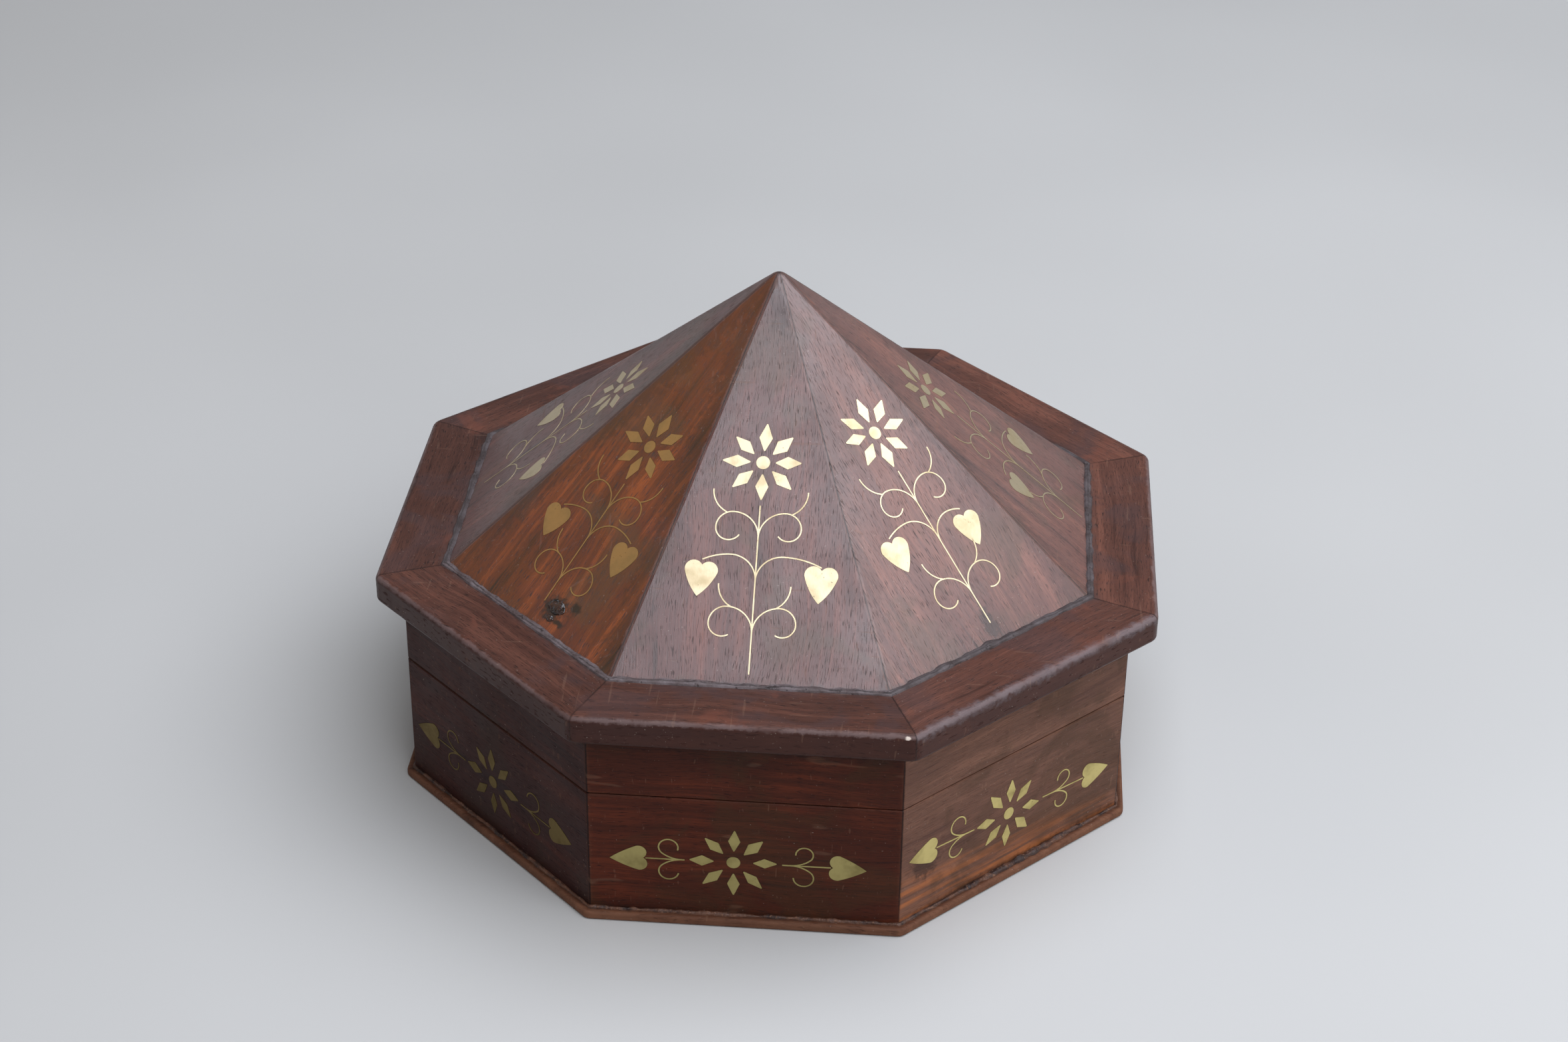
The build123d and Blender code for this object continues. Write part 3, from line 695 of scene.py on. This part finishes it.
def make_hide_glue():
    """Brown glue that was squeezed out and has dried to a crust."""
    material, n, shader, place = new_material("hide_glue_residue")
    tone = n.noise(place, 210.0, 4.0, 0.65)
    crust = n.noise(place, 1200.0, 3.0, 0.6)
    colour = n.blend(n.remap(tone, 0.35, 0.66), rgb(0.022, 0.009, 0.007), rgb(0.120, 0.052, 0.030))
    colour = tinted(n, colour, (n.remap(crust, 0.56, 0.68), 0.6, rgb(0.24, 0.125, 0.075)))
    shader.inputs["IOR"].default_value = 1.45
    join(n, shader, Base_Color=colour, Roughness=n.remap(crust, 0.3, 0.7, 0.35, 0.7))
    bump(n, shader, n.math("ADD", crust, tone), strength=0.8, distance=0.0004)
    return material


def make_resin():
    """Hard resin, nearly black, still glossy."""
    material, n, shader, place = new_material("resin_knot_glossy")
    swirl = n.noise(place, 420.0, 4.0, 0.6, 1.2)
    colour = n.blend(n.remap(swirl, 0.35, 0.65), rgb(0.005, 0.003, 0.003), rgb(0.050, 0.020, 0.012))
    shader.inputs["Coat Weight"].default_value = 0.6
    shader.inputs["Coat Roughness"].default_value = 0.08
    join(n, shader, Base_Color=colour, Roughness=n.remap(swirl, 0.3, 0.7, 0.16, 0.4))
    bump(n, shader, swirl, strength=0.6, distance=0.0003)
    return material


def fresh_start():
    bpy.ops.object.select_all(action="DESELECT")


def shaped(name, material, body):
    """Names the piece being worked on, gives it its finish, and lets it ride with a body."""
    piece = bpy.context.object
    piece.name = name
    piece.data.name = name
    piece.data.materials.clear()
    piece.data.materials.append(material)
    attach(piece, body)


def roughened(amount, size, depth):
    """Pushes the surface in and out by a lumpy pattern, for good."""
    lumps = bpy.data.textures.new("lumps", "CLOUDS")
    lumps.noise_scale = size
    lumps.noise_depth = depth
    displace = bpy.context.object.modifiers.new("rough", "DISPLACE")
    displace.texture = lumps
    displace.texture_coords = "GLOBAL"
    displace.strength = amount
    displace.mid_level = 0.5
    bpy.ops.object.modifier_apply(modifier="rough")


def whole_mesh(action, **settings):
    bpy.ops.object.mode_set(mode="EDIT")
    bpy.ops.mesh.select_all(action="SELECT")
    action(**settings)
    bpy.ops.object.mode_set(mode="OBJECT")


def edges_longer_than(piece, length, along_z):
    """Selects the long edges of a piece, measured along Z or level with the floor."""
    for edge in piece.data.edges:
        a, b = (piece.data.vertices[i].co for i in edge.vertices)
        edge.select = (abs(a.z - b.z) if along_z else (a.xy - b.xy).length) > length


def cut_selected_edges(cuts):
    bpy.ops.object.mode_set(mode="EDIT")
    bpy.ops.mesh.select_mode(type="EDGE")
    bpy.ops.mesh.subdivide(number_cuts=cuts)
    bpy.ops.object.mode_set(mode="OBJECT")


def octagon_bead(apothem, height, thickness):
    """A round bead laid all round the box, one straight run to each side."""
    fresh_start()
    bpy.ops.mesh.primitive_torus_add(
        location=(0, 0, height), major_segments=8, minor_segments=10,
        major_radius=apothem / math.cos(HALF_SIDE), minor_radius=thickness,
    )
    bpy.ops.object.transform_apply(location=True, rotation=False, scale=False)
    whole_mesh(bpy.ops.transform.rotate, value=HALF_SIDE, orient_axis="Z", center_override=(0, 0, 0))
    edges_longer_than(bpy.context.object, 0.03, along_z=False)
    cut_selected_edges(BEAD_CUTS)


def make_seam_filler():
    """The filler run into the angle between roof and moulding."""
    octagon_bead(ROOF_APOTHEM + BEAD_OUT, RING_TOP, FILLER_R)
    flatter = (1, 1, FILLER_FLATNESS)
    whole_mesh(bpy.ops.transform.resize, value=flatter, center_override=(0, 0, RING_TOP))
    roughened(amount=0.0015, size=0.0055, depth=3)
    bpy.ops.object.shade_smooth()
    shaped("roof_seam_filler", make_filler(), "lid")


def make_glue_line(material):
    """The thin line of glue along the foot of every wall."""
    octagon_bead(WALL_APOTHEM + BEAD_OUT, BOARD_TOP, GLUE_R)
    roughened(amount=0.0011, size=0.0036, depth=3)
    bpy.ops.object.shade_smooth()
    shaped("base_glue_line", material, "base")


def turned_to_side(side):
    return Matrix.Rotation(side * math.pi / 4, 4, "Z")


def laid(piece_place):
    """Puts the piece being worked on in its place, and keeps the place in its mesh."""
    bpy.context.object.matrix_world = piece_place
    bpy.ops.object.transform_apply(location=True, rotation=True, scale=True)


def make_glue_squeezed_out(material):
    """The thick crust of glue along the foot of the front right wall."""
    fresh_start()
    bpy.ops.mesh.primitive_cylinder_add(
        vertices=12, radius=CRUST_R, depth=CRUST_L, end_fill_type="TRIFAN"
    )
    crust = bpy.context.object
    edges_longer_than(crust, 0.03, along_z=True)
    cut_selected_edges(CRUST_CUTS)
    for vertex in crust.data.vertices:
        taper = max(0.15, 1.0 - (abs(vertex.co.z) / (CRUST_L / 2)) ** 3)
        vertex.co.x *= taper
        vertex.co.y *= taper
    foot = Matrix.Translation((CRUST_ALONG, -WALL_APOTHEM - 0.0003, BOARD_TOP + 0.0001))
    laid(turned_to_side(FRONT_RIGHT) @ foot @ Matrix.Rotation(math.pi / 2, 4, "Y"))
    roughened(amount=0.0018, size=0.0034, depth=4)
    bpy.ops.object.shade_smooth()
    shaped("base_glue_squeezed_out", material, "base")


def make_resin_knot():
    """Two beads of hard dark resin where a knot was, on the front left roof board."""
    material = make_resin()
    foot = Matrix.Translation((0, -ROOF_APOTHEM, RING_TOP))
    board = turned_to_side(FRONT_LEFT) @ (foot @ Matrix.Rotation(ROOF_SLOPE, 4, "X"))
    for name, (along, up), radius, stretch in RESIN_BEADS:
        fresh_start()
        bpy.ops.mesh.primitive_ico_sphere_add(subdivisions=5, radius=radius)
        laid(board @ Matrix.Translation((along, up, 0)) @ Matrix.Diagonal((*stretch, 1)))
        roughened(amount=0.38 * radius, size=0.55 * radius, depth=3)
        bpy.ops.object.shade_smooth()
        shaped(name, material, "lid")


def make_lining():
    """Wool felt cut to the floor of the box and laid in, a little uneven."""
    fresh_start()
    bpy.ops.mesh.primitive_grid_add(
        x_subdivisions=110, y_subdivisions=110, size=2 * LINING_APOTHEM,
        location=(0, 0, LINING_LOW),
    )
    bpy.ops.object.transform_apply(location=True, rotation=False, scale=False)
    bpy.ops.object.mode_set(mode="EDIT")
    for quarter in range(4):
        angle = math.pi / 4 + quarter * math.pi / 2
        out = Vector((math.cos(angle), math.sin(angle), 0))
        bpy.ops.mesh.select_all(action="SELECT")
        bpy.ops.mesh.bisect(plane_co=out * LINING_APOTHEM, plane_no=out, clear_outer=True)
    bpy.ops.mesh.select_all(action="SELECT")
    bpy.ops.mesh.extrude_region_move(TRANSFORM_OT_translate={"value": (0, 0, LINING_T)})
    bpy.ops.mesh.select_all(action="SELECT")
    bpy.ops.mesh.normals_make_consistent(inside=False)
    bpy.ops.object.mode_set(mode="OBJECT")
    lining = bpy.context.object
    raise_top_face(lining)
    eased = lining.modifiers.new("eased_edge", "BEVEL")
    eased.width = 0.0004
    eased.segments = 2
    eased.angle_limit = math.radians(60)
    bpy.ops.object.modifier_apply(modifier="eased_edge")
    bpy.ops.object.shade_smooth_by_angle(angle=math.radians(40))
    shaped("floor_felt", make_felt(), "base")
    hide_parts("floor_lining")


def raise_top_face(lining):
    """Lets the felt's top face rise and sink a little, and leaves its underside flat."""
    rise = bpy.data.textures.new("cloth_rise", "CLOUDS")
    rise.noise_scale = 0.03
    middle = LINING_LOW + 0.5 * LINING_T
    top = lining.vertex_groups.new(name="top_face")
    top.add([v.index for v in lining.data.vertices if v.co.z > middle], 1.0, "REPLACE")
    displace = lining.modifiers.new("rise", "DISPLACE")
    displace.texture = rise
    displace.texture_coords = "GLOBAL"
    displace.direction = "Z"
    displace.vertex_group = "top_face"
    displace.strength = 0.0007
    displace.mid_level = 0.5
    bpy.ops.object.modifier_apply(modifier="rise")


make_lining()
make_seam_filler()
hide_glue = make_hide_glue()
make_glue_line(hide_glue)
make_glue_squeezed_out(hide_glue)
make_resin_knot()


# ------------------------------------------------------------------ floor, light, camera
def make_floor():
    fresh_start()
    bpy.ops.mesh.primitive_plane_add(size=40.0, location=(0, 0, 0))
    floor = bpy.context.object
    floor.name = "studio_floor"
    material, n, shader, place = new_material("pale_floor")
    tone = n.remap(n.noise(place, 3.0, 2.0), 0.3, 0.7)
    join(n, shader, Base_Color=n.blend(tone, rgb(0.50, 0.50, 0.49), rgb(0.54, 0.54, 0.53)))
    shader.inputs["Roughness"].default_value = 0.6
    floor.data.materials.append(material)


def softbox(name, towards, distance, size, radiance, colour, turn=0.0):
    """A rectangular area light of a given brightness per area, facing the box."""
    light = bpy.data.lights.new(name, "AREA")
    light.shape = "RECTANGLE"
    light.size, light.size_y = size
    light.energy = radiance * math.pi * size[0] * size[1]
    light.color = colour
    lamp = bpy.data.objects.new(name, light)
    bpy.context.scene.collection.objects.link(lamp)
    target = Vector((0, 0, 0.07))
    lamp.location = target + Vector(towards).normalized() * distance
    facing = (target - lamp.location).to_track_quat("-Z", "Y")
    lamp.rotation_mode = "QUATERNION"
    lamp.rotation_quaternion = facing @ Matrix.Rotation(turn, 3, "Z").to_quaternion()


def make_light():
    """A cool softbox overhead, a fill in front, a card to the right, a warm one to the left."""
    softbox(
        "overhead_softbox", towards=(0.36, -0.16, 0.92), distance=1.3, size=(2.2, 1.5),
        radiance=3.3, colour=(0.89, 0.92, 1.0), turn=math.radians(25),
    )
    softbox(
        "front_fill", towards=(0.30, -0.88, 0.35), distance=2.2, size=(1.2, 0.9),
        radiance=0.8, colour=(1.0, 0.96, 0.9),
    )
    softbox(
        "right_card", towards=(0.93, -0.30, 0.24), distance=1.1, size=(0.8, 0.5),
        radiance=1.5, colour=(1.0, 0.97, 0.90),
    )
    softbox(
        "warm_card", towards=(-0.764, 0.154, 0.627), distance=1.5, size=(0.7, 0.7),
        radiance=0.42, colour=(1.0, 0.62, 0.24),
    )
    world = bpy.data.worlds.new("studio_surround")
    bpy.context.scene.world = world
    world.use_nodes = True
    world.node_tree.nodes.clear()
    n = Nodes(world.node_tree)
    direction = n.add("ShaderNodeTexCoord").outputs["Generated"]
    height = n.split(direction)[2]
    level = n.remap(height, 0.02, 0.5)
    colour = n.blend(level, rgb(0.60, 0.62, 0.65), rgb(0.13, 0.135, 0.14))
    background = n.add("ShaderNodeBackground", {"Color": colour, "Strength": 1.0})
    output = n.add("ShaderNodeOutputWorld")
    world.node_tree.links.new(background.outputs[0], output.inputs[0])


def make_camera():
    """A camera a little right of the front and well above the box, rolled a touch."""
    cos_up = math.cos(CAMERA_ELEVATION)
    back = Vector((
        math.sin(CAMERA_AZIMUTH) * cos_up, -math.cos(CAMERA_AZIMUTH) * cos_up,
        math.sin(CAMERA_ELEVATION),
    ))
    right = Vector((math.cos(CAMERA_AZIMUTH), math.sin(CAMERA_AZIMUTH), 0))
    right = right * math.cos(CAMERA_ROLL) + back.cross(right) * math.sin(CAMERA_ROLL)
    turn = Matrix((right, back.cross(right), back)).transposed()
    data = bpy.data.cameras.new("camera")
    data.lens = CAMERA_LENS
    data.sensor_width = 36.0
    data.clip_start = 0.01
    data.clip_end = 100.0
    camera = bpy.data.objects.new("camera", data)
    bpy.context.scene.collection.objects.link(camera)
    place = CAMERA_AIM + back * CAMERA_DISTANCE
    camera.matrix_world = Matrix.Translation(place) @ turn.to_4x4()
    bpy.context.scene.camera = camera


make_floor()
make_light()
make_camera()
bpy.context.scene.view_settings.view_transform = "Standard"
